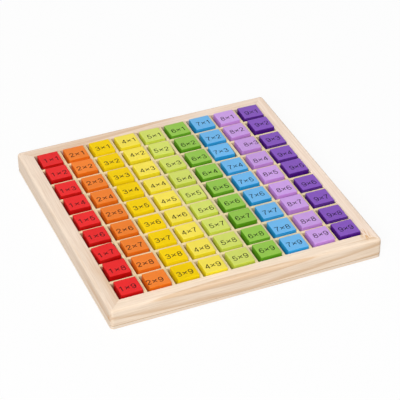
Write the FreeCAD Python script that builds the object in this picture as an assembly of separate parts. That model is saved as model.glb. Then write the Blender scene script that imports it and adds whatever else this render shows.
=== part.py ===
import FreeCAD, Part
import math
import os
from FreeCAD import Vector

# Multiplication tile board, in millimetres and degrees.
# The origin lies under the middle of the board, on the surface that it stands on.
# X runs to the right along a row of tiles, Y to the back and Z up.

# Columns from left to right, each named after its paint, and rows from back to front
TILE_COLOURS = ["red", "orange", "amber", "yellow", "lime", "green", "blue", "lilac", "purple"]
ROWS = 9

# Cells and the slats between them
CELL_SIDE = 19.2
SLAT_THICKNESS = 2.5
SLAT_DROP = 0.5             # how far the slats stay below the tops of the rails
LAP_CLEARANCE = 0.1         # play in each half-lap, in the width and in the depth of its slot

# Rails of the frame
RAIL_WIDTH = 11.0
RAIL_HEIGHT = 13.5
CORNER_RADIUS = 3.0
TOP_EDGE_RADIUS = 2.5
BOTTOM_EDGE_CHAMFER = 0.5
INNER_EDGE_CHAMFER = 0.4

# Base panel, glued under the rails and all but flush with them
BASE_THICKNESS = 3.0
BASE_INSET = 0.2
BASE_CORNER_RADIUS = 2.8

# Tiles
TILE_CLEARANCE = 1.2        # the gap on each side of a tile that stands in the middle of its cell
TILE_THICKNESS = 15.5
TILE_TOP_RADIUS = 0.6
TILE_FOOT_CHAMFER = 0.5

# How each tile stands in its cell, row by row from the back and from left to right: how far it stands to the
# right, how far to the back and how far it is turned anticlockwise from above, in tenths of the clearance.
# Neither of the first two and the third together reach ten, so that no tile touches a slat or a rail.
STANDING = [
    [(5, -9, 0), (5, -9, 0), (6, -7, 0), (6, -6, 0), (3, -8, -1), (5, -8, 1), (9, -3, 0), (9, -4, 0), (4, -7, -2)],
    [(5, 5, 0), (4, 5, -1), (4, 0, 1), (6, 4, 0), (0, 0, -5), (6, -2, 0), (8, -6, 0), (5, 1, 3), (6, 9, 0)],
    [(4, -3, 0), (5, -6, 0), (7, 0, 0), (4, 5, 0), (6, -6, 3), (7, -4, 0), (-3, 4, -2), (8, 4, -1), (4, -9, 0)],
    [(6, 8, 0), (5, 2, 0), (5, 5, 0), (6, -5, 1), (2, 3, -1), (8, -4, 0), (5, -7, 0), (9, -1, 0), (1, -5, 0)],
    [(4, 1, 1), (7, -1, -1), (3, 2, 1), (6, 1, 0), (-4, -6, 0), (7, -3, 0), (7, 0, 0), (5, 1, 0), (1, 9, 0)],
    [(5, 1, 0), (6, -1, 0), (6, -9, 0), (6, -4, 0), (0, -4, 0), (8, -8, 0), (8, -2, 1), (8, -1, 0), (3, -8, 0)],
    [(0, 1, 6), (4, -2, 0), (7, -2, -1), (5, -2, 3), (3, -6, 0), (9, 5, 0), (7, -7, 0), (9, 9, 0), (2, -4, 0)],
    [(6, 9, 0), (6, -4, -1), (7, -3, 0), (8, -1, 0), (5, -5, 0), (9, -9, 0), (8, -5, 0), (8, -3, 1), (1, -8, -1)],
    [(7, -1, 0), (7, -1, 0), (8, -1, 0), (7, -7, 0), (8, -1, 1), (9, 1, 0), (8, -5, 0), (8, 1, 0), (4, 3, 0)],
]

# Sizes that follow from the ones above
COLUMNS = len(TILE_COLOURS)
PITCH = CELL_SIDE + SLAT_THICKNESS
WELL_LENGTH = COLUMNS * PITCH - SLAT_THICKNESS
WELL_DEPTH = ROWS * PITCH - SLAT_THICKNESS
FRAME_LENGTH = WELL_LENGTH + 2 * RAIL_WIDTH
FRAME_DEPTH = WELL_DEPTH + 2 * RAIL_WIDTH
FLOOR = BASE_THICKNESS      # top of the base panel, on which rails, slats and tiles stand
RAIL_TOP = FLOOR + RAIL_HEIGHT
SLAT_HEIGHT = RAIL_HEIGHT - SLAT_DROP
LAP_WIDTH = SLAT_THICKNESS + LAP_CLEARANCE
LAP_DEPTH = (SLAT_HEIGHT + LAP_CLEARANCE) / 2
TILE_SIDE = CELL_SIDE - 2 * TILE_CLEARANCE

NEAR = 0.001                # lengths closer than this count as the same


def export(shape, node):
    shape.exportStep("parts/" + node + ".step")


def column_middle(column):
    """X of the middle of a column, counted from 1 at the left."""
    return (column - (COLUMNS + 1) / 2) * PITCH


def row_middle(row):
    """Y of the middle of a row, counted from 1 at the back."""
    return ((ROWS + 1) / 2 - row) * PITCH


def block(length, depth, height, bottom):
    """A block that stands over the middle of the board."""
    return Part.makeBox(length, depth, height, Vector(-length / 2, -depth / 2, bottom))


def level_edges(shape, height):
    """The edges that lie level at this height."""
    found = []
    for edge in shape.Edges:
        if abs(edge.BoundBox.ZMin - height) < NEAR and abs(edge.BoundBox.ZMax - height) < NEAR:
            found.append(edge)
    return found


def upright_edges(shape):
    """The edges that stand upright."""
    found = []
    for edge in shape.Edges:
        if edge.BoundBox.XLength < NEAR and edge.BoundBox.YLength < NEAR:
            found.append(edge)
    return found


def well_edges(shape, height):
    """The level edges round the square well inside the rails."""
    found = []
    for edge in level_edges(shape, height):
        if edge.BoundBox.XMax < WELL_LENGTH / 2 + NEAR and edge.BoundBox.XMin > -WELL_LENGTH / 2 - NEAR:
            if edge.BoundBox.YMax < WELL_DEPTH / 2 + NEAR and edge.BoundBox.YMin > -WELL_DEPTH / 2 - NEAR:
                found.append(edge)
    return found


def rail_ring():
    """All four rails in one piece, shaped as they are after they were glued and sanded."""
    ring = block(FRAME_LENGTH, FRAME_DEPTH, RAIL_HEIGHT, FLOOR)
    ring = ring.makeFillet(CORNER_RADIUS, upright_edges(ring))
    ring = ring.makeFillet(min(TOP_EDGE_RADIUS, CORNER_RADIUS - NEAR), level_edges(ring, RAIL_TOP))
    ring = ring.makeChamfer(min(BOTTOM_EDGE_CHAMFER, CORNER_RADIUS - NEAR), level_edges(ring, FLOOR))
    ring = ring.cut(block(WELL_LENGTH, WELL_DEPTH, RAIL_HEIGHT, FLOOR))
    return ring.makeChamfer(INNER_EDGE_CHAMFER, well_edges(ring, RAIL_TOP))


def corner(number, length, depth):
    """A corner of a rectangle at the height of the floor. 0 is front left, and they go round by the right."""
    side_x = [-1, 1, 1, -1][number % 4]
    side_y = [-1, -1, 1, 1][number % 4]
    return Vector(side_x * length / 2, side_y * depth / 2, FLOOR)


def mitred_rail(ring, number):
    """One rail of the ring, parted from its neighbours along the mitres. 0 is the front rail."""
    outline = [
        corner(number, FRAME_LENGTH, FRAME_DEPTH),
        corner(number + 1, FRAME_LENGTH, FRAME_DEPTH),
        corner(number + 1, WELL_LENGTH, WELL_DEPTH),
        corner(number, WELL_LENGTH, WELL_DEPTH),
    ]
    between_mitres = Part.Face(Part.makePolygon(outline + outline[:1])).extrude(Vector(0, 0, RAIL_HEIGHT))
    return ring.common(between_mitres)


def base_panel():
    length = FRAME_LENGTH - 2 * BASE_INSET
    depth = FRAME_DEPTH - 2 * BASE_INSET
    panel = block(length, depth, BASE_THICKNESS, 0)
    return panel.makeFillet(BASE_CORNER_RADIUS, upright_edges(panel))


def slat(length, crossings, slot_bottom):
    """A slat along X, slotted to half its height wherever another slat crosses it."""
    plain = block(length, SLAT_THICKNESS, SLAT_HEIGHT, FLOOR)
    slots = []
    for crossing in crossings:
        slot = block(LAP_WIDTH, SLAT_THICKNESS, LAP_DEPTH, slot_bottom)
        slots.append(slot.translated(Vector(crossing, 0, 0)))
    return plain.cut(Part.makeCompound(slots))


def lengthwise_slat():
    """A slat between two rows. Its slots are open at the top."""
    crossings = [column_middle(column) + PITCH / 2 for column in range(1, COLUMNS)]
    return slat(WELL_LENGTH, crossings, FLOOR + SLAT_HEIGHT - LAP_DEPTH)


def crosswise_slat():
    """A slat between two columns. Its slots are open at the bottom and straddle the lengthwise slats."""
    crossings = [row_middle(row) - PITCH / 2 for row in range(1, ROWS)]
    along_x = slat(WELL_DEPTH, crossings, FLOOR)
    return along_x.rotated(Vector(0, 0, 0), Vector(0, 0, 1), 90)


def tile():
    """A tile in the middle of the board. Its upper edges are rounded and its foot is chamfered."""
    body = block(TILE_SIDE, TILE_SIDE, TILE_THICKNESS, FLOOR)
    body = body.makeChamfer(TILE_FOOT_CHAMFER, level_edges(body, FLOOR))
    return body.makeFillet(TILE_TOP_RADIUS, level_edges(body, FLOOR + TILE_THICKNESS))


def placed_tile(plain, column, row):
    """A tile in its cell, at the place and with the turn that it has there."""
    right, back, turn = STANDING[row - 1][column - 1]
    angle = math.degrees(math.atan(turn / 10 * TILE_CLEARANCE / (TILE_SIDE / 2)))
    x = column_middle(column) + right / 10 * TILE_CLEARANCE
    y = row_middle(row) + back / 10 * TILE_CLEARANCE
    return plain.rotated(Vector(0, 0, 0), Vector(0, 0, 1), angle).translated(Vector(x, y, 0))


def main():
    os.makedirs("parts", exist_ok=True)

    ring = rail_ring()
    for number, side in enumerate(["front", "right", "back", "left"]):
        export(mitred_rail(ring, number), side + "_rail")
    export(base_panel(), "base_panel")

    for row in range(1, ROWS):
        y = row_middle(row) - PITCH / 2
        export(lengthwise_slat().translated(Vector(0, y, 0)), "lengthwise_slat_" + str(row))
    for column in range(1, COLUMNS):
        x = column_middle(column) + PITCH / 2
        export(crosswise_slat().translated(Vector(x, 0, 0)), "crosswise_slat_" + str(column))

    plain = tile()
    for column, colour in enumerate(TILE_COLOURS, start=1):
        tiles = [placed_tile(plain, column, row) for row in range(1, ROWS + 1)]
        export(Part.makeCompound(tiles), colour + "_tiles")


main()
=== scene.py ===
"""Looks of a multiplication tile board: pine frame, slats, base panel, painted tiles, prints and a stage."""

import math

import bpy
from bpy.props import FloatProperty, FloatVectorProperty, PointerProperty
from bpy.types import Operator, Panel, PropertyGroup
from mathutils import Matrix, Vector


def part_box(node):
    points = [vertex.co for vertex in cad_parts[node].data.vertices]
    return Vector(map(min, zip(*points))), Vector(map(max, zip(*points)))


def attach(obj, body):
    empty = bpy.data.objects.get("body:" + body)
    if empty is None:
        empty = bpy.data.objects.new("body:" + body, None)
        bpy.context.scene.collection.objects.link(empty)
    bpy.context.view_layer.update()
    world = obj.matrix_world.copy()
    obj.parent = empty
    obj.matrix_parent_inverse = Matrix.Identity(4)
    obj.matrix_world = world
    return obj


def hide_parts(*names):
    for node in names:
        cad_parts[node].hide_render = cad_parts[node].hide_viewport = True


bl_info = {
    "name": "Multiplication Tile Board",
    "version": (1, 0, 0),
    "blender": (4, 5, 0),
    "location": "3D View > Sidebar > Tile Board",
    "description": "Models the rails, slats, base panel, tiles and prints of a multiplication tile board",
    "category": "Mesh",
}

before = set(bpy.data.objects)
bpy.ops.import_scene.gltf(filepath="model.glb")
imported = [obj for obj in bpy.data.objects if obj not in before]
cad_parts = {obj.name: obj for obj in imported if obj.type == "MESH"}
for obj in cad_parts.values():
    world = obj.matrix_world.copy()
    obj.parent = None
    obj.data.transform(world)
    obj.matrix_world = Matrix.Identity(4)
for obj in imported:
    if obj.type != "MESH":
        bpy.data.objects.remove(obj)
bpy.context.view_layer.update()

MM = 0.001
NEAR = 0.01 * MM            # places closer than this count as the same

# Columns from left to right. gloss is the specular level of the paint, spacing the distance in millimetres
# between the middles of the two digits of a print, and thinness the share of the paint that shines through the
# ink. The cool paints are glossier, and the last three took the ink less well
PAINTS = {
    "red": {"gloss": 0.2, "spacing": 9.3, "thinness": 0.12},
    "orange": {"gloss": 0.15, "spacing": 9.3, "thinness": 0.12},
    "amber": {"gloss": 0.05, "spacing": 9.0, "thinness": 0.12},
    "yellow": {"gloss": 0.2, "spacing": 8.7, "thinness": 0.12},
    "lime": {"gloss": 0.25, "spacing": 8.8, "thinness": 0.12},
    "green": {"gloss": 0.5, "spacing": 8.7, "thinness": 0.12},
    "blue": {"gloss": 0.5, "spacing": 8.6, "thinness": 0.3},
    "lilac": {"gloss": 0.4, "spacing": 8.5, "thinness": 0.3},
    "purple": {"gloss": 0.5, "spacing": 8.3, "thinness": 0.3},
}
RAILS = ["front_rail", "right_rail", "back_rail", "left_rail"]
LENGTHWISE = sorted(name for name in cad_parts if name.startswith("lengthwise_slat"))
CROSSWISE = sorted(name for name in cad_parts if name.startswith("crosswise_slat"))

# The board's outline and the well inside the rails, read from the frame
BOARD_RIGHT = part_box("right_rail")[1].x
BOARD_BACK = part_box("back_rail")[1].y
WELL_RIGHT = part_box("right_rail")[0].x
WELL_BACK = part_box("back_rail")[0].y
RAIL_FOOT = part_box("front_rail")[0].z
RAIL_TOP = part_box("front_rail")[1].z
TILE_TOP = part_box("red_tiles")[1].z
INK_HEIGHT = 0.02 * MM      # how far the ink stands proud, so the painted tops lie that much lower
SLAT_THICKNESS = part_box(CROSSWISE[0])[1].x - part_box(CROSSWISE[0])[0].x
PITCH = (2 * WELL_RIGHT + SLAT_THICKNESS) / (len(CROSSWISE) + 1)

# The stage, in metres, and the camera's angles in degrees
SIDE_LAMP = (-1.86, -2.22, 1.952)
TOP_LAMP = (0, 0, 3.5)
LAMP_WIDTH = 1.7
FLOOR_WIDTH = 8
CAMERA = (-0.38813, -0.94522, 0.75701)
CAMERA_ANGLES = (53.8614, 0.2704, -22.8341)
CAMERA_REACH = 50
SENSOR_WIDTH = 36           # in millimetres, as the lens is


def linear(shade):
    """Turns an sRGB colour in hex into the linear values that Blender works with."""
    channels = [int(shade[at:at + 2], 16) / 255 for at in (0, 2, 4)]
    return [c / 12.92 if c <= 0.04045 else ((c + 0.055) / 1.055) ** 2.4 for c in channels]


def length(name, description, millimetres):
    """A size that the user can change."""
    return FloatProperty(
        name=name, description=description, default=millimetres * MM, min=0.0, unit="LENGTH", precision=5)


def colour(name, description, shade):
    """A colour that the user can change, given as sRGB hex."""
    return FloatVectorProperty(
        name=name, description=description, default=linear(shade), min=0.0, max=1.0, subtype="COLOR")


class WoodSettings(PropertyGroup):
    """Edges and colours of the bare wood."""

    corner_radius: length("Corner radius", "Radius of the frame's four upright corners", 3.0)
    top_radius: length("Top edge radius", "Radius of the outer upper edges of the rails", 2.5)
    bottom_radius: length("Bottom edge radius", "Radius of the outer lower edges of the rails", 0.35)
    inner_radius: length("Inner edge radius", "Radius of the rails' edges towards the tiles", 0.4)
    mitre_easing: length("Mitre easing", "Bevel on both sides of a mitre, which shows as a fine line", 0.08)
    slat_easing: length("Slat easing", "Bevel on the edges of the slats", 0.2)
    early: colour("Early wood", "Pale wood that grew in spring", "F8E3CC")
    late: colour("Late wood", "Tan wood that closes each year's ring", "E6C5A2")
    slat: colour("Slat wood", "Colour of the slats", "F4DFB2")
    inner_ply: colour("Inner ply", "Middle layer of the base panel", "EFDFCE")
    # A fine brown line along the base panel's upper rim, partly the joint's adhesive and partly painted shade
    # where the rails meet the panel
    glue_and_shade: colour("Glue", "Line of glue between rails and base panel", "D2B492")
    resin: colour("Resin", "Resin streaks and knots in the rails", "D9A05C")


class TileSettings(PropertyGroup):
    """Edges and paints of the tiles."""

    edge_radius: length("Edge radius", "Radius of all edges of a tile", 0.5)
    # Each column has a top colour and a side colour. The side colour is painted shading for the tiles' upright
    # faces, not a second paint
    red: colour("Red", "Paint on the tops of the first column", "E91A1C")
    red_side: colour("Red, sides", "Paint on the sides of the first column", "CB0202")
    orange: colour("Orange", "Paint on the tops of the second column", "F18029")
    orange_side: colour("Orange, sides", "Paint on the sides of the second column", "EF7611")
    amber: colour("Amber", "Paint on the tops of the third column", "F4CE05")
    amber_side: colour("Amber, sides", "Paint on the sides of the third column", "FBDD08")
    yellow: colour("Yellow", "Paint on the tops of the fourth column", "F5E14F")
    yellow_side: colour("Yellow, sides", "Paint on the sides of the fourth column", "F8E827")
    lime: colour("Lime", "Paint on the tops of the fifth column", "D2DD64")
    lime_side: colour("Lime, sides", "Paint on the sides of the fifth column", "D2E44E")
    green: colour("Green", "Paint on the tops of the sixth column", "8ABF34")
    green_side: colour("Green, sides", "Paint on the sides of the sixth column", "5FA708")
    blue: colour("Blue", "Paint on the tops of the seventh column", "64B4EB")
    blue_side: colour("Blue, sides", "Paint on the sides of the seventh column", "13A0E6")
    lilac: colour("Lilac", "Paint on the tops of the eighth column", "C89AE2")
    lilac_side: colour("Lilac, sides", "Paint on the sides of the eighth column", "D096EE")
    purple: colour("Purple", "Paint on the tops of the ninth column", "7A40B5")
    purple_side: colour("Purple, sides", "Paint on the sides of the ninth column", "4F0490")


class PrintSettings(PropertyGroup):
    """The multiplications printed on the tiles."""

    digit_height: length("Digit height", "Height of a digit", 5.45)
    stroke: length("Stroke", "Width of a printed stroke", 0.67)
    drop: length("Drop", "How far the print lies in front of the tile's middle", 1.7)
    ink: colour("Ink", "Colour of the print", "141213")


class StageSettings(PropertyGroup):
    """Camera, lamps and floor."""

    lens: FloatProperty(
        name="Lens", description="Focal length in millimetres on a 36 mm sensor", default=147.77, min=1.0)
    side_power: FloatProperty(
        name="Side lamp", description="Power of the lamp at the left", default=67.6, min=0.0, unit="POWER")
    top_power: FloatProperty(
        name="Top lamp", description="Power of the lamp overhead", default=40.6, min=0.0, unit="POWER")
    sky: FloatProperty(
        name="Sky", description="Strength of the even light from all round", default=0.44, min=0.0)
    floor: colour("Floor", "Colour of the floor", "D8D7D6")
    shadow: FloatProperty(
        name="Shadow", description="Share of the floor that shows shadows", default=0.1, min=0.0, max=1.0)
    glow: FloatProperty(
        name="Glow", description="Share of the floor that stays white in shadow", default=0.89, min=0.0)


def deselect():
    """Leaves edit mode and selects nothing."""
    if bpy.context.object and bpy.context.object.mode != "OBJECT":
        bpy.ops.object.mode_set(mode="OBJECT")
    bpy.ops.object.select_all(action="DESELECT")


def select(*pieces):
    """Selects these pieces alone. The last one is active."""
    deselect()
    for piece in pieces:
        piece.select_set(True)
        bpy.context.view_layer.objects.active = piece


def place_in_mesh(piece):
    """Moves the piece's place into its mesh, so that its object sits at the origin."""
    select(piece)
    bpy.ops.object.transform_apply(location=True, rotation=True, scale=True)


def block(name, low, high):
    """A block between two corners, as the start of a piece."""
    deselect()
    middle = (Vector(low) + Vector(high)) / 2
    bpy.ops.mesh.primitive_cube_add(size=1, location=middle, scale=Vector(high) - Vector(low))
    piece = bpy.context.object
    piece.name = name
    place_in_mesh(piece)
    return piece


def copy(piece, name):
    """A copy of a piece with a mesh of its own."""
    select(piece)
    bpy.ops.object.duplicate()
    new = bpy.context.object
    new.name = name
    return new


def move(piece, x, y, z=0.0, turn=0.0):
    """Turns a piece about the upright axis and then moves it."""
    piece.matrix_world = Matrix.Translation((x, y, z)) @ Matrix.Rotation(turn, 4, "Z")
    place_in_mesh(piece)


def joined(pieces, name):
    """Several pieces as one."""
    select(*pieces)
    bpy.ops.object.join()
    whole = bpy.context.object
    whole.name = name
    return whole


def discard(piece):
    select(piece)
    bpy.ops.object.delete()


def edit_edges(piece, wanted):
    """Opens a piece in edit mode with those edges selected whose two ends are wanted."""
    select(piece)
    bpy.ops.object.mode_set(mode="EDIT")
    bpy.ops.mesh.select_mode(type="EDGE")
    bpy.ops.mesh.select_all(action="DESELECT")
    bpy.ops.object.mode_set(mode="OBJECT")
    for edge in piece.data.edges:
        start, end = [piece.data.vertices[at].co for at in edge.vertices]
        edge.select = wanted(start, end)
    bpy.ops.object.mode_set(mode="EDIT")


def round_edges(piece, radius, segments, wanted):
    """Rounds those edges whose two ends are wanted."""
    edit_edges(piece, wanted)
    bpy.ops.mesh.bevel(offset=radius, segments=segments, profile=0.5)
    deselect()


# Faces that turn from each other by no more than this are part of one rounding
ROUNDING_TURN = math.radians(32)


def smooth(piece):
    """Shades the rounded edges smooth and keeps the flat faces flat up to them."""
    select(piece)
    bpy.ops.object.shade_smooth_by_angle(angle=ROUNDING_TURN)
    weighted = piece.modifiers.new("Flat faces", "WEIGHTED_NORMAL")
    weighted.keep_sharp = True
    bpy.ops.object.modifier_apply(modifier=weighted.name)


def finish(piece, material, slot, *nodes):
    """Gives a piece its finish and puts it in the place of its CAD nodes."""
    piece.data.materials.clear()
    piece.data.materials.append(material)
    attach(piece, "root")
    if nodes:
        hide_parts(*nodes)
    deselect()


def same(a, b):
    return abs(a - b) < NEAR


# The Mix node's sockets for colours, which go by number because others have the same names
MIX_SHARE, MIX_FROM, MIX_TO, MIXED = 0, 6, 7, 2


def node(tree, kind, inputs=None, **settings):
    """Adds a shader node with its settings. An input is a value or the socket that feeds it."""
    new = tree.nodes.new("ShaderNode" + kind)
    for name, value in settings.items():
        setattr(new, name, value)
    for name, value in (inputs or {}).items():
        if isinstance(value, bpy.types.NodeSocket):
            tree.links.new(value, new.inputs[name])
        else:
            new.inputs[name].default_value = value
    return new


def new_material(name):
    """A material with its node tree and its shader."""
    material = bpy.data.materials.new(name)
    material.use_nodes = True
    return material, material.node_tree, material.node_tree.nodes["Principled BSDF"]


def set_stops(ramp, *stops):
    """Sets a colour ramp's stops, each a position with a colour or a grey."""
    elements = ramp.color_ramp.elements
    while len(elements) < len(stops):
        elements.new(0.5)
    for element, (position, shade) in zip(elements, stops):
        element.position = position
        element.color = (shade, shade, shade, 1) if isinstance(shade, (int, float)) else (*shade, 1)


# How the wood of each rail has grown, in millimetres and degrees.
# turn brings the rail to the front rail's place, and pith is the middle of the year rings there.
# lean lets the rings run out evenly along the rail. bend lets them run out to both sides of the pith's place
# within about bend_run, because no trunk is straight.
# ring is one year's width, and ends the distance from the pith at which one year ends. Nearer to the pith than
# heart the wood stays as dark as it is there. late is the share of the year after which the wood darkens.
# The rings come in along the rail between the two values of fade, and across it between those of side_fade.
# strength is how dark they get, and tone how pale the board is as a whole, in red, green and blue.
# mark is the place of resin streaks or a knot, where there is one, mark_size how far it reaches, and mark_run
# how its streaks are drawn out.
GRAIN = {
    # A closed ring peeps out along the outer edge, and the next one swings over the front face
    "front_rail": {
        "turn": 0, "pith": (-13, -107.4, 16.5), "lean": 0.0, "bend": 0.1, "bend_run": 50,
        "ring": 9.0, "ends": 4.5, "heart": 2.8, "late": 0.5,
        "fade": (-210, -200), "side_fade": (-102.2, -103.4), "strength": 1.0, "tone": (0.98, 0.98, 0.98),
        "mark": (97.5, -99.5, 16.5), "mark_size": (4.5, 6, 3), "mark_run": (1, 0.12, 1),
    },
    # Calm wood, a little darker towards the back, with resin streaks at the front end
    "right_rail": {
        "turn": -90, "pith": (0, -60, -40), "lean": 0.02, "bend": 0.0, "bend_run": 0,
        "ring": 5.5, "ends": 70, "heart": 0, "late": 0.4,
        "fade": (10, 90), "side_fade": (0, -50), "strength": 0.45, "tone": (0.98, 0.98, 1.03),
        "mark": (-97, -99, 16.5), "mark_size": (8, 4, 3), "mark_run": (0.12, 1, 1),
    },
    # One broad tan field at the left
    "back_rail": {
        "turn": 180, "pith": (0, -182.4, 40), "lean": -0.08, "bend": 0.0, "bend_run": 0,
        "ring": 13.0, "ends": 84.2, "heart": 0, "late": 0.05,
        "fade": (-45, -5), "side_fade": (0, -50), "strength": 0.95, "tone": (0.94, 0.93, 0.96),
    },
    # A broad tan ring round the outer edge at the front end, which closes halfway back, and a small knot
    "left_rail": {
        "turn": 90, "pith": (31, -107.4, 18.5), "lean": -0.2, "bend": 0.2, "bend_run": 10,
        "ring": 14.0, "ends": -3.6, "heart": 0, "late": 0.3,
        "fade": (-12, 30), "side_fade": (0, -50), "strength": 0.85, "tone": (0.92, 0.92, 0.94),
        "mark": (103.4, -107.4, 9), "mark_size": (2, 1.5, 2.6), "mark_run": (1, 1, 0.3),
    },
}
PLAIN_SHARE = 0.2           # share of the late wood's tan between the rings, so that fibres can be paler too
FIBRE_CONTRAST = 1.9        # how far the fibres' tans part
RING_WANDER = 0.8           # millimetres by which the rings wander to either side


def year_rings(tree, turned, from_pith, grain):
    """Broad soft rings round the pith, which run along the rail. Gives two sockets, how dark the wood is by its
    place in the year, and how much of that shows."""
    section = node(tree, "VectorMath", {0: from_pith, 1: (0, 1, 1)}, operation="MULTIPLY").outputs["Vector"]
    across = node(tree, "VectorMath", {0: section}, operation="LENGTH").outputs["Value"]
    along = node(tree, "VectorMath", {0: from_pith, 1: (1, 0, 0)}, operation="DOT_PRODUCT").outputs["Value"]
    leant = node(tree, "Math", {0: along, 1: grain["lean"], 2: across}, operation="MULTIPLY_ADD").outputs[0]
    sideways = node(tree, "CombineXYZ", {"X": along, "Y": grain["bend_run"] * MM}).outputs["Vector"]
    away = node(tree, "VectorMath", {0: sideways}, operation="LENGTH").outputs["Value"]
    growth = node(tree, "Math", {0: away, 1: grain["bend"], 2: leant}, operation="MULTIPLY_ADD").outputs[0]

    # The rings wander, over about 55 mm along the rail. offset is what wander and bend add beside the pith
    drawn = node(tree, "VectorMath", {0: from_pith, 1: (0.15, 1, 1)}, operation="MULTIPLY").outputs["Vector"]
    wander = node(tree, "TexNoise", {"Vector": drawn, "Scale": 120.0, "Detail": 2.0}).outputs["Fac"]
    span = 2 * RING_WANDER * MM
    wandered = node(tree, "Math", {0: wander, 1: span, 2: growth}, operation="MULTIPLY_ADD").outputs[0]
    offset = RING_WANDER + grain["bend"] * grain["bend_run"]
    core = (grain["heart"] + offset) * MM
    settled = node(tree, "Math", {0: wandered, 1: core}, operation="MAXIMUM").outputs[0]
    per_year = 1 / (grain["ring"] * MM)
    first = -(grain["ends"] + offset) / grain["ring"]
    years = node(tree, "Math", {0: settled, 1: per_year, 2: first}, operation="MULTIPLY_ADD").outputs[0]
    season = node(tree, "Math", {0: years}, operation="FRACT").outputs[0]

    # The wood darkens through the later part of the year and turns pale at once when the next one starts
    year = node(tree, "ValToRGB", {"Fac": season})
    late, darkest = grain["late"], 0.85
    half_dark = (late + darkest) / 2
    set_stops(
        year, (0.0, 0.15), (0.04, 0), (late, 0.05), (half_dark, 0.5), (darkest, 1), (0.94, 0.95), (1.0, 0.15))

    low, high = [v * MM for v in grain["fade"]]
    most = (1 - PLAIN_SHARE) * grain["strength"]
    fade = node(tree, "MapRange", {"Value": along, "From Min": low, "From Max": high, "To Max": most})
    inwards = node(tree, "VectorMath", {0: turned, 1: (0, 1, 0)}, operation="DOT_PRODUCT").outputs["Value"]
    low, high = [v * MM for v in grain["side_fade"]]
    side = node(tree, "MapRange", {"Value": inwards, "From Min": low, "From Max": high})
    shown = node(tree, "Math", {0: fade.outputs["Result"], 1: side.outputs["Result"]}, operation="MULTIPLY")
    return year.outputs["Color"], shown.outputs[0]


def resin_mark(tree, turned, wood, grain, resin):
    """Streaks of resin over the wood, about 1 mm wide and up to 9 mm long, which thin out away from the middle
    of the mark."""
    middle = [v * MM for v in grain["mark"]]
    from_middle = node(tree, "VectorMath", {0: turned, 1: middle}, operation="SUBTRACT").outputs["Vector"]
    shrunk = [1 / (v * MM) for v in grain["mark_size"]]
    spread = node(tree, "VectorMath", {0: from_middle, 1: shrunk}, operation="MULTIPLY").outputs["Vector"]
    reach = node(tree, "VectorMath", {0: spread}, operation="LENGTH").outputs["Value"]
    inside = node(tree, "MapRange", {"Value": reach, "From Min": 1.0, "From Max": 0.4}).outputs["Result"]
    drawn = node(tree, "VectorMath", {0: turned, 1: grain["mark_run"]}, operation="MULTIPLY").outputs["Vector"]
    noise = node(tree, "TexNoise", {"Vector": drawn, "Scale": 900.0, "Detail": 1.0}).outputs["Fac"]
    streaks = node(tree, "MapRange", {"Value": noise, "From Min": 0.42, "From Max": 0.62, "To Max": 0.8})
    share = node(tree, "Math", {0: inside, 1: streaks.outputs["Result"]}, operation="MULTIPLY").outputs[0]
    mixed = node(tree, "Mix", {MIX_SHARE: share, MIX_FROM: wood, MIX_TO: (*resin, 1)}, data_type="RGBA")
    return mixed.outputs[MIXED]


def pine(name, settings, grain):
    """Planed and sanded pine, unvarnished. Broad soft rings run along the rail, pale where the wood grew in
    spring and tan where the year closes, over fine fibres."""
    material, tree, shader = new_material(name)
    place = node(tree, "TexCoord").outputs["Object"]
    turn = math.radians(grain["turn"])
    turned = node(tree, "VectorRotate", {"Vector": place, "Angle": turn}, rotation_type="Z_AXIS").outputs[0]
    pith = [v * MM for v in grain["pith"]]
    from_pith = node(tree, "VectorMath", {0: turned, 1: pith}, operation="SUBTRACT").outputs["Vector"]
    darkness, shown = year_rings(tree, turned, from_pith, grain)

    # Fibres, about 1 mm wide and 30 mm long, some paler and some darker than the wood round them
    combed = node(tree, "VectorMath", {0: from_pith, 1: (0.03, 1, 1)}, operation="MULTIPLY").outputs["Vector"]
    fibres = node(tree, "TexNoise", {"Vector": combed, "Scale": 1000.0, "Detail": 3.0, "Roughness": 0.6})
    height = fibres.outputs["Fac"]
    level = PLAIN_SHARE - FIBRE_CONTRAST / 2
    plain = node(tree, "Math", {0: height, 1: FIBRE_CONTRAST, 2: level}, operation="MULTIPLY_ADD").outputs[0]
    share = node(tree, "Math", {0: darkness, 1: shown, 2: plain}, operation="MULTIPLY_ADD").outputs[0]
    wood = node(tree, "ValToRGB", {"Fac": share})
    pale = [c * tone for c, tone in zip(settings.early, grain["tone"])]
    palest = [c * 1.06 for c in pale]
    tan = [c * tone for c, tone in zip(settings.late, grain["tone"])]
    set_stops(wood, (0.0, palest), (PLAIN_SHARE, pale), (1.0, tan))
    colours = wood.outputs["Color"]
    if "mark" in grain:
        colours = resin_mark(tree, turned, colours, grain, settings.resin)
    tree.links.new(colours, shader.inputs["Base Color"])

    # Sanded fibres stand a few hundredths of a millimetre proud
    bump = node(tree, "Bump", {"Strength": 0.25, "Distance": 0.05 * MM, "Height": height})
    tree.links.new(bump.outputs["Normal"], shader.inputs["Normal"])
    shader.inputs["Roughness"].default_value = 0.62
    shader.inputs["Specular IOR Level"].default_value = 0.25
    return material


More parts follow.
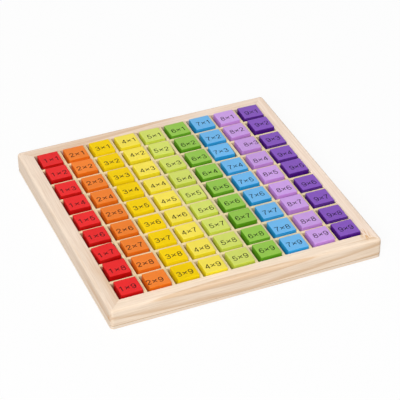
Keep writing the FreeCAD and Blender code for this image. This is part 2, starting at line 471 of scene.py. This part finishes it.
def sawn_strip(name, settings, combing):
    """Thin strips of pale softwood, sawn and left bare. Fine straight fibres, about 1.1 mm wide and 28 mm long,
    run along each strip."""
    material, tree, shader = new_material(name)
    place = node(tree, "TexCoord").outputs["Object"]
    combed = node(tree, "VectorMath", {0: place, 1: combing}, operation="MULTIPLY").outputs["Vector"]
    fibres = node(tree, "TexNoise", {"Vector": combed, "Scale": 900.0, "Detail": 3.0, "Roughness": 0.6})
    wood = node(tree, "ValToRGB", {"Fac": fibres.outputs["Fac"]})
    dark_fibre = [c * 0.86 for c in settings.slat]
    set_stops(wood, (0.3, dark_fibre), (0.65, settings.slat))
    tree.links.new(wood.outputs["Color"], shader.inputs["Base Color"])
    bump = node(tree, "Bump", {"Strength": 0.3, "Distance": 0.05 * MM, "Height": fibres.outputs["Fac"]})
    tree.links.new(bump.outputs["Normal"], shader.inputs["Normal"])
    shader.inputs["Roughness"].default_value = 0.7
    shader.inputs["Specular IOR Level"].default_value = 0.3
    return material


def three_ply(name, settings):
    """Thin plywood of three layers. Its faces show a calm pale grain, and its edges show the greyer middle
    layer. A fine brown line runs along its upper rim, under the rails. It is partly the joint's adhesive and
    partly painted shade in that joint."""
    material, tree, shader = new_material(name)
    place = node(tree, "TexCoord").outputs["Object"]

    # Grain about 4 mm wide and 60 mm long on the faces, and a quarter as wide on the edges
    combed = node(tree, "VectorMath", {0: place, 1: (0.06, 1, 4)}, operation="MULTIPLY").outputs["Vector"]
    grain = node(tree, "TexNoise", {"Vector": combed, "Scale": 260.0, "Detail": 4.0, "Roughness": 0.65})
    face = node(tree, "ValToRGB", {"Fac": grain.outputs["Fac"]})
    set_stops(face, (0.25, settings.late), (0.5, settings.early))

    # Share of the panel's thickness, from its underside up
    height = node(tree, "VectorMath", {0: place, 1: (0, 0, 1)}, operation="DOT_PRODUCT").outputs["Value"]
    level = node(tree, "Math", {0: height, 1: 1 / RAIL_FOOT}, operation="MULTIPLY").outputs[0]
    middle = node(tree, "ValToRGB", {"Fac": level})
    middle.color_ramp.interpolation = "CONSTANT"
    set_stops(middle, (0.0, 0), (1 / 3, 1), (2 / 3, 0))
    layers = node(
        tree, "Mix", {MIX_SHARE: middle.outputs["Color"], MIX_FROM: face.outputs["Color"],
                      MIX_TO: (*settings.inner_ply, 1)}, data_type="RGBA").outputs[MIXED]
    # The top of the rim is painted darker: partly the joint's adhesive, partly painted shade under the rails
    darker_rim_from = 0.83
    darker_rim = node(tree, "Math", {0: level, 1: darker_rim_from}, operation="GREATER_THAN").outputs[0]
    wood = node(tree, "Mix", {MIX_SHARE: darker_rim, MIX_FROM: layers, MIX_TO: (*settings.glue_and_shade, 1)}, data_type="RGBA")
    tree.links.new(wood.outputs[MIXED], shader.inputs["Base Color"])
    bump = node(tree, "Bump", {"Strength": 0.2, "Distance": 0.05 * MM, "Height": grain.outputs["Fac"]})
    tree.links.new(bump.outputs["Normal"], shader.inputs["Normal"])
    shader.inputs["Roughness"].default_value = 0.66
    shader.inputs["Specular IOR Level"].default_value = 0.3
    return material


def toy_paint(name, top_shade, side_shading, gloss):
    """Satin water-based paint on sanded wood. It is even and a little glossy. The upright sides take a colour
    of their own, which is painted shading: darker than the top for the red, orange, green, blue and purple
    paints, and brighter for the others. No two tiles took quite the same coat, and the pores of the wood show
    through it as faint hollows."""
    material, tree, shader = new_material(name)
    place = node(tree, "TexCoord").outputs["Object"]

    # A chance of its own for each cell, and clouds about 6 mm wide, say how thin the coat is
    from_corner = node(
        tree, "VectorMath", {0: place, 1: (WELL_RIGHT, WELL_BACK, 0)}, operation="ADD").outputs["Vector"]
    per_cell = (1 / PITCH, 1 / PITCH, 0)
    cell = node(tree, "VectorMath", {0: from_corner, 1: per_cell}, operation="MULTIPLY").outputs["Vector"]
    number = node(tree, "VectorMath", {0: cell}, operation="FLOOR").outputs["Vector"]
    chance = node(tree, "TexWhiteNoise", {"Vector": number}).outputs["Value"]
    clouds = node(tree, "TexNoise", {"Vector": place, "Scale": 170.0, "Detail": 2.0}).outputs["Fac"]
    both = node(tree, "Math", {0: chance, 1: clouds}, operation="ADD").outputs[0]
    thinness = node(tree, "Math", {0: both, 1: 0.5}, operation="MULTIPLY").outputs[0]
    coats = []
    for shade in (side_shading, top_shade):
        coat = node(tree, "ValToRGB", {"Fac": thinness})
        thick_coat = [c * 0.93 for c in shade]
        thin_coat = [min(1.0, c * 1.05 + 0.004) for c in shade]
        set_stops(coat, (0.15, thick_coat), (0.85, thin_coat))
        coats.append(coat.outputs["Color"])
    # Painted shading: faces that turn upwards take the top colour, and upright faces take the side colour,
    # which stands for the light and shade on the sides
    facing = node(tree, "TexCoord").outputs["Normal"]
    upwards = node(tree, "VectorMath", {0: facing, 1: (0, 0, 1)}, operation="DOT_PRODUCT").outputs["Value"]
    on_top = node(tree, "MapRange", {"Value": upwards, "From Min": 0.4, "From Max": 0.9}).outputs["Result"]
    paint = node(tree, "Mix", {MIX_SHARE: on_top, MIX_FROM: coats[0], MIX_TO: coats[1]}, data_type="RGBA")
    tree.links.new(paint.outputs[MIXED], shader.inputs["Base Color"])

    # Pores of the wood below, about 0.7 mm apart and 12 mm long, softened by the paint
    combed = node(tree, "VectorMath", {0: place, 1: (0.06, 1, 1)}, operation="MULTIPLY").outputs["Vector"]
    pores = node(tree, "TexNoise", {"Vector": combed, "Scale": 1400.0, "Detail": 2.0}).outputs["Fac"]
    bump = node(tree, "Bump", {"Strength": 0.12, "Distance": 0.05 * MM, "Height": pores})
    tree.links.new(bump.outputs["Normal"], shader.inputs["Normal"])
    shader.inputs["Roughness"].default_value = 0.4
    shader.inputs["Specular IOR Level"].default_value = gloss
    return material


def printing_ink(name, black, paint, thinness):
    """Black pad-printing ink. It lies matt on the satin paint, so thin that a little of the paint shines
    through, and patchy where the pad pressed less, with patches about 1 mm wide."""
    material, tree, shader = new_material(name)
    place = node(tree, "TexCoord").outputs["Object"]
    patches = node(tree, "TexNoise", {"Vector": place, "Scale": 900.0, "Detail": 2.0})
    ink = node(tree, "ValToRGB", {"Fac": patches.outputs["Fac"]})
    thin_ink = [dark + thinness * light for dark, light in zip(black, paint)]
    set_stops(ink, (0.35, black), (0.75, thin_ink))
    tree.links.new(ink.outputs["Color"], shader.inputs["Base Color"])
    shader.inputs["Roughness"].default_value = 0.7
    shader.inputs["Specular IOR Level"].default_value = 0.1
    return material


def cut_out(piece, cutter):
    """Takes the cutter's shape away from a piece, and the cutter with it."""
    select(piece)
    cut = piece.modifiers.new("Cut", "BOOLEAN")
    cut.object = cutter
    bpy.ops.object.modifier_apply(modifier=cut.name)
    discard(cutter)


def level_at(height):
    """Picks the edges that lie level at this height."""
    return lambda a, b: same(a.z, height) and same(b.z, height)


def rail_ring(settings):
    """The four rails in one piece, with their edges rounded."""
    ring = block("rail_ring", (-BOARD_RIGHT, -BOARD_BACK, RAIL_FOOT), (BOARD_RIGHT, BOARD_BACK, RAIL_TOP))
    round_edges(ring, settings.corner_radius, segments=8, wanted=lambda a, b: not same(a.z, b.z))
    round_edges(ring, settings.top_radius, segments=6, wanted=level_at(RAIL_TOP))
    round_edges(ring, settings.bottom_radius, segments=4, wanted=level_at(RAIL_FOOT))
    well_low, well_high = (-WELL_RIGHT, -WELL_BACK, RAIL_FOOT - MM), (WELL_RIGHT, WELL_BACK, RAIL_TOP + MM)
    cut_out(ring, block("well", well_low, well_high))

    def on_rim(point):
        inside = abs(point.x) < WELL_RIGHT + NEAR and abs(point.y) < WELL_BACK + NEAR
        return inside and same(point.z, RAIL_TOP)

    round_edges(ring, settings.inner_radius, segments=3, wanted=lambda a, b: on_rim(a) and on_rim(b))
    return ring


def cut_at_mitres(ring, name, number, easing):
    """One rail of the ring. 0 is the front rail, and they go round by the right."""
    rail = copy(ring, name)
    for side in (-1, 1):
        outwards = Matrix.Rotation(number * math.pi / 2, 3, "Z") @ Vector((side, 1, 0)).normalized()
        select(rail)
        bpy.ops.object.mode_set(mode="EDIT")
        bpy.ops.mesh.select_all(action="SELECT")
        bpy.ops.mesh.bisect(
            plane_co=(0, 0, 0), plane_no=outwards, clear_outer=True, use_fill=True, threshold=0.001 * MM)
        deselect()

    def on_mitre(point):
        return same(abs(point.x), abs(point.y))

    round_edges(rail, easing, segments=1, wanted=lambda a, b: on_mitre(a) and on_mitre(b))
    smooth(rail)
    return rail


class BOARD_OT_rails(Operator):
    """Models the four mitred rails of the frame"""

    bl_idname = "board.rails"
    bl_label = "Rails"

    def execute(self, context):
        settings = context.scene.board_wood
        ring = rail_ring(settings)
        for number, name in enumerate(RAILS):
            rail = cut_at_mitres(ring, "mitred_" + name, number, settings.mitre_easing)
            material = pine("Pine, " + name.replace("_", " "), settings, GRAIN[name])
            finish(rail, material, "pine", name)
        discard(ring)
        return {"FINISHED"}


def slotted_slat(name, easing):
    """A slat in the place of its CAD node, slotted where the others cross it, with its edges eased."""
    low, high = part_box(name)
    slat = block("eased_" + name, low, high)
    size = high - low
    lengthwise = size.x > size.y
    crossed = CROSSWISE if lengthwise else LENGTHWISE
    lap = (low.z + high.z) / 2
    for other in crossed:
        other_low, other_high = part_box(other)
        if lengthwise:
            slot_low = Vector((other_low.x, low.y - MM, lap))
            slot_high = Vector((other_high.x, high.y + MM, high.z + MM))
        else:
            slot_low = Vector((low.x - MM, other_low.y, low.z - MM))
            slot_high = Vector((high.x + MM, other_high.y, lap))
        cut_out(slat, block("slot", slot_low, slot_high))
    select(slat)
    bevel = slat.modifiers.new("Eased edges", "BEVEL")
    bevel.width = easing
    bevel.segments = 2
    bpy.ops.object.modifier_apply(modifier=bevel.name)
    smooth(slat)
    return slat


class BOARD_OT_slats(Operator):
    """Models the half-lapped slats that part the cells"""

    bl_idname = "board.slats"
    bl_label = "Slats"

    def execute(self, context):
        settings = context.scene.board_wood
        for names, wood in (
            (LENGTHWISE, sawn_strip("Sawn softwood, lengthwise", settings, (0.04, 1, 1))),
            (CROSSWISE, sawn_strip("Sawn softwood, crosswise", settings, (1, 0.04, 1))),
        ):
            first = slotted_slat(names[0], settings.slat_easing)
            for name in names[1:]:
                slat = copy(first, "eased_" + name)
                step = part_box(name)[0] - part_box(names[0])[0]
                move(slat, step.x, step.y)
                finish(slat, wood, "slat_wood", name)
            finish(first, wood, "slat_wood", names[0])
        return {"FINISHED"}


class BOARD_OT_base_panel(Operator):
    """Gives the base panel its plywood"""

    bl_idname = "board.base_panel"
    bl_label = "Base Panel"

    def execute(self, context):
        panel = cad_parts["base_panel"]
        panel.data.materials.clear()
        panel.data.materials.append(three_ply("Three-ply", context.scene.board_wood))
        return {"FINISHED"}


def tile_places(name):
    """Middle and turn of each tile of a column, from the four corners of its underside, from back to front."""
    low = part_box(name)[0].z
    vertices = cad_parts[name].data.vertices
    foot = {(round(v.co.x, 6), round(v.co.y, 6)) for v in vertices if same(v.co.z, low)}
    rows = {}
    for x, y in foot:
        rows.setdefault(int((WELL_BACK - y) // PITCH), []).append(Vector((x, y)))
    places = []
    for row in sorted(rows):
        corners = rows[row]
        if len(corners) != 4:
            raise RuntimeError(f"{name} has {len(corners)} foot corners in row {row + 1}")
        middle = sum(corners, Vector((0, 0))) / 4
        spoke = max((corner - middle for corner in corners), key=lambda spoke: spoke.x + spoke.y)
        places.append((middle, math.atan2(spoke.y, spoke.x) - math.pi / 4))
    return places


def plain_tile(radius):
    """A tile over the origin with all its edges rounded. Its width is that of the first tile, whose corners lie
    within 0.6 pitch of its middle, where no other tile reaches."""
    middle = tile_places("red_tiles")[0][0]
    spokes = [v.co.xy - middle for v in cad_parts["red_tiles"].data.vertices]
    half = max(spoke.length for spoke in spokes if spoke.length < 0.6 * PITCH) / math.sqrt(2)
    tile = block("plain_tile", (-half, -half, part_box("red_tiles")[0].z), (half, half, TILE_TOP - INK_HEIGHT))
    round_edges(tile, radius, segments=3, wanted=lambda a, b: True)
    smooth(tile)
    return tile


class BOARD_OT_tiles(Operator):
    """Models the painted tiles, one piece for each column"""

    bl_idname = "board.tiles"
    bl_label = "Tiles"

    def execute(self, context):
        settings = context.scene.board_tiles
        plain = plain_tile(settings.edge_radius)
        for paint, traits in PAINTS.items():
            name = paint + "_tiles"
            tiles = []
            for middle, turn in tile_places(name):
                tile = copy(plain, "tile")
                move(tile, middle.x, middle.y, 0, turn)
                tiles.append(tile)
            # The side colour is painted shading for the upright faces
            top_shade, side_shading = getattr(settings, paint), getattr(settings, paint + "_side")
            material = toy_paint("Satin paint, " + paint, top_shade, side_shading, traits["gloss"])
            finish(joined(tiles, "rounded_" + name), material, paint + "_paint", name)
        discard(plain)
        return {"FINISHED"}


# Strokes of the printed signs, in a box as wide as SIGN_WIDTH and as high as 1. A stroke of two points is
# straight, and one whose last point is its first is closed
SIGN_WIDTH = 0.68
STROKES = {
    "1": [[(0.38, 0.0), (0.38, 0.97)], [(0.38, 0.94), (0.30, 0.84), (0.12, 0.74)]],
    "2": [[(0.10, 0.69), (0.15, 0.86), (0.34, 0.94), (0.53, 0.86), (0.58, 0.69), (0.50, 0.51), (0.30, 0.31),
           (0.10, 0.06)],
          [(0.07, 0.06), (0.62, 0.06)]],
    "3": [[(0.11, 0.74), (0.18, 0.89), (0.33, 0.94), (0.51, 0.87), (0.56, 0.74), (0.49, 0.59), (0.28, 0.54)],
          [(0.28, 0.54), (0.51, 0.48), (0.60, 0.30), (0.52, 0.12), (0.33, 0.06), (0.16, 0.12), (0.09, 0.28)]],
    "4": [[(0.48, 0.0), (0.48, 0.97)], [(0.48, 0.95), (0.07, 0.28)], [(0.04, 0.27), (0.64, 0.27)]],
    "5": [[(0.59, 0.94), (0.18, 0.94)], [(0.18, 0.96), (0.12, 0.47)],
          [(0.12, 0.48), (0.33, 0.60), (0.53, 0.52), (0.60, 0.34), (0.53, 0.14), (0.33, 0.06), (0.16, 0.12),
           (0.09, 0.28)]],
    "6": [[(0.58, 0.75), (0.51, 0.89), (0.36, 0.94), (0.17, 0.85), (0.09, 0.62), (0.08, 0.42), (0.14, 0.16),
           (0.34, 0.06), (0.54, 0.14), (0.60, 0.33), (0.53, 0.51), (0.35, 0.59), (0.17, 0.51), (0.09, 0.36)]],
    "7": [[(0.07, 0.94), (0.61, 0.94)], [(0.60, 0.92), (0.42, 0.66), (0.30, 0.36), (0.25, 0.0)]],
    "8": [[(0.34, 0.94), (0.16, 0.87), (0.12, 0.75), (0.17, 0.61), (0.34, 0.55), (0.51, 0.61), (0.56, 0.75),
           (0.52, 0.87), (0.34, 0.94)],
          [(0.34, 0.55), (0.15, 0.47), (0.08, 0.31), (0.14, 0.14), (0.34, 0.06), (0.54, 0.14), (0.60, 0.31),
           (0.53, 0.47), (0.34, 0.55)]],
    "×": [[(0.03, 0.22), (0.64, 0.74)], [(0.06, 0.73), (0.60, 0.24)]],
}
STROKES["9"] = [[(SIGN_WIDTH - x, 1 - y) for x, y in stroke] for stroke in STROKES["6"]]    # a 6 upside down

# How far each print lies to the right and to the back of its usual place, in tenths of a millimetre, row by row
# from the back and from left to right
STRAYED = [
    [(5, 5), (2, -1), (3, 1), (11, 10), (12, -2), (3, 0), (6, 8), (1, 2), (5, 5)],
    [(0, 2), (-4, 2), (-2, -8), (4, 12), (-7, -4), (-3, -7), (-3, -3), (-2, 9), (7, 10)],
    [(-8, -4), (-1, 15), (-1, -4), (3, -3), (1, 0), (0, -2), (-10, 1), (24, 8), (1, 13)],
    [(-6, -3), (-1, -8), (-2, 2), (1, 3), (7, -11), (-1, -6), (1, -1), (-1, -5), (3, -2)],
    [(-6, 4), (-5, 3), (-3, -5), (0, -9), (0, 0), (0, -6), (-4, -6), (-3, 9), (12, 1)],
    [(-8, 4), (-4, -5), (-2, -2), (0, 0), (8, -4), (-2, 5), (-7, 9), (0, -3), (0, -2)],
    [(-10, -5), (-6, -2), (-4, -7), (-4, 6), (3, 4), (-4, 2), (0, 0), (-2, 5), (4, -1)],
    [(-6, -7), (-11, -3), (-3, 2), (-3, -6), (0, -1), (-5, -4), (-4, -9), (-3, -2), (4, -3)],
    [(-12, 1), (-23, -6), (-8, -6), (-4, 4), (-1, 6), (-4, 10), (-4, 3), (5, 17), (-1, 8)],
]


def printed_sign(character, settings):
    """One sign of the print, its strokes flat and thin round the origin."""
    deselect()
    bpy.ops.curve.primitive_bezier_curve_add()
    sign = bpy.context.object
    sign.name = "sign"
    curve = sign.data
    curve.splines.clear()
    curve.dimensions = "3D"
    curve.bevel_depth = settings.stroke / 2
    curve.bevel_resolution = 0
    curve.resolution_u = 3
    curve.use_fill_caps = True
    for stroke in STROKES[character]:
        closed = stroke[0] == stroke[-1]
        points = stroke[:-1] if closed else stroke
        spline = curve.splines.new("BEZIER")
        spline.bezier_points.add(len(points) - 1)
        spline.use_cyclic_u = closed
        for point, (x, y) in zip(spline.bezier_points, points):
            point.co = ((x - SIGN_WIDTH / 2) * settings.digit_height, (y - 0.5) * settings.digit_height, 0)
            point.handle_left_type = point.handle_right_type = "VECTOR" if len(points) == 2 else "AUTO"
    bpy.ops.object.convert(target="MESH")
    sign = bpy.context.object
    sign.scale.z = INK_HEIGHT / (settings.stroke / 2)
    place_in_mesh(sign)
    return sign


class BOARD_OT_prints(Operator):
    """Prints the multiplications on the tiles, one piece for each column"""

    bl_idname = "board.prints"
    bl_label = "Prints"

    def execute(self, context):
        settings = context.scene.board_prints
        signs = {character: printed_sign(character, settings) for character in STROKES}
        for column, (paint, traits) in enumerate(PAINTS.items(), start=1):
            shade = getattr(context.scene.board_tiles, paint)
            ink = printing_ink("Black pad-printing ink on " + paint, settings.ink, shade, traits["thinness"])
            step = traits["spacing"] / 2 * MM
            printed = []
            for row, (middle, turn) in enumerate(tile_places(paint + "_tiles"), start=1):
                right, back = [tenths / 10 * MM for tenths in STRAYED[row - 1][column - 1]]
                for place, character in enumerate(f"{column}×{row}", start=-1):
                    along = Vector((place * step + right, back - settings.drop))
                    along.rotate(Matrix.Rotation(turn, 2))
                    sign = copy(signs[character], "printed_sign")
                    move(sign, middle.x + along.x, middle.y + along.y, TILE_TOP - INK_HEIGHT, turn)
                    printed.append(sign)
            finish(joined(printed, paint + "_prints"), ink, None)
        for sign in signs.values():
            discard(sign)
        return {"FINISHED"}


def shown_to(tree, camera_side, rest):
    """Joins two shaders, one for what the camera, gloss and glass see and one for all other light."""
    path = node(tree, "LightPath").outputs
    seen = node(tree, "Math", {0: path["Is Camera Ray"], 1: path["Is Glossy Ray"]}, operation="MAXIMUM")
    seen = node(tree, "Math", {0: seen.outputs[0], 1: path["Is Transmission Ray"]}, operation="MAXIMUM")
    return node(tree, "MixShader", {0: seen.outputs[0], 1: rest, 2: camera_side}).outputs[0]


def floor_finish(settings):
    """A plain pale floor. It lights the object as matt paper does, looks white all over, and keeps a shadow."""
    material = bpy.data.materials.new("Pale studio floor")
    material.use_nodes = True
    tree = material.node_tree
    tree.nodes.clear()
    paper = node(tree, "BsdfDiffuse", {"Color": (*settings.floor, 1)}).outputs[0]
    shaded = node(tree, "BsdfDiffuse", {"Color": (settings.shadow, settings.shadow, settings.shadow, 1)})
    glow = node(tree, "Emission", {"Strength": settings.glow})
    both = node(tree, "AddShader", {0: shaded.outputs[0], 1: glow.outputs[0]}).outputs[0]
    node(tree, "OutputMaterial", {"Surface": shown_to(tree, both, paper)})
    return material


def studio_world(settings):
    """Even light from all round, in front of plain white."""
    world = bpy.data.worlds.new("Studio")
    world.use_nodes = True
    tree = world.node_tree
    tree.nodes.clear()
    white = node(tree, "Background", {"Color": (1, 1, 1, 1), "Strength": 1.0}).outputs[0]
    sky = node(tree, "Background", {"Strength": settings.sky}).outputs[0]
    node(tree, "OutputWorld", {"Surface": shown_to(tree, white, sky)})
    return world


class BOARD_OT_stage(Operator):
    """Sets up the floor, the even light, the two soft lamps and the camera"""

    bl_idname = "board.stage"
    bl_label = "Stage"

    def execute(self, context):
        settings = context.scene.board_stage
        deselect()
        bpy.ops.mesh.primitive_plane_add(size=FLOOR_WIDTH)
        floor = bpy.context.object
        floor.name = "floor"
        floor.data.materials.append(floor_finish(settings))
        context.scene.world = studio_world(settings)

        # The side lamp stands so low that it lights the tiles' left sides and leaves the gaps beside them dark.
        # The top lamp lights what lies level and hardly reaches into the gaps
        for name, place, power in (
            ("side_lamp", SIDE_LAMP, settings.side_power),
            ("top_lamp", TOP_LAMP, settings.top_power),
        ):
            deselect()
            bpy.ops.object.light_add(type="AREA", location=place)
            lamp = bpy.context.object
            lamp.name = name
            lamp.data.shape = "DISK"
            lamp.data.size = LAMP_WIDTH
            lamp.data.energy = power
            lamp.rotation_euler = (-lamp.location).to_track_quat("-Z", "Y").to_euler()

        deselect()
        bpy.ops.object.camera_add(location=CAMERA)
        camera = bpy.context.object
        camera.name = "camera"
        camera.rotation_euler = [math.radians(angle) for angle in CAMERA_ANGLES]
        camera.data.sensor_width = SENSOR_WIDTH
        camera.data.lens = settings.lens
        camera.data.clip_end = CAMERA_REACH
        context.scene.camera = camera
        context.scene.view_settings.view_transform = "Standard"
        return {"FINISHED"}


class BOARD_PT_sidebar(Panel):
    """The steps and the settings of the tile board"""

    bl_idname = "BOARD_PT_sidebar"
    bl_label = "Tile Board"
    bl_space_type = "VIEW_3D"
    bl_region_type = "UI"
    bl_category = "Tile Board"

    def draw(self, context):
        for title, group, steps in (
            ("Wood", "board_wood", ("board.rails", "board.slats", "board.base_panel")),
            ("Tiles", "board_tiles", ("board.tiles",)),
            ("Prints", "board_prints", ("board.prints",)),
            ("Stage", "board_stage", ("board.stage",)),
        ):
            box = self.layout.box()
            box.label(text=title)
            settings = getattr(context.scene, group)
            for name in settings.__annotations__:
                box.prop(settings, name)
            for step in steps:
                box.operator(step)


CLASSES = [
    WoodSettings, TileSettings, PrintSettings, StageSettings,
    BOARD_OT_rails, BOARD_OT_slats, BOARD_OT_base_panel, BOARD_OT_tiles, BOARD_OT_prints, BOARD_OT_stage,
    BOARD_PT_sidebar,
]


def register():
    for cls in CLASSES:
        bpy.utils.register_class(cls)
    bpy.types.Scene.board_wood = PointerProperty(type=WoodSettings)
    bpy.types.Scene.board_tiles = PointerProperty(type=TileSettings)
    bpy.types.Scene.board_prints = PointerProperty(type=PrintSettings)
    bpy.types.Scene.board_stage = PointerProperty(type=StageSettings)


def unregister():
    del bpy.types.Scene.board_stage
    del bpy.types.Scene.board_prints
    del bpy.types.Scene.board_tiles
    del bpy.types.Scene.board_wood
    for cls in reversed(CLASSES):
        bpy.utils.unregister_class(cls)


def main():
    register()
    bpy.ops.board.rails()
    bpy.ops.board.slats()
    bpy.ops.board.base_panel()
    bpy.ops.board.tiles()
    bpy.ops.board.prints()
    bpy.ops.board.stage()


if __name__ == "__main__":
    main()
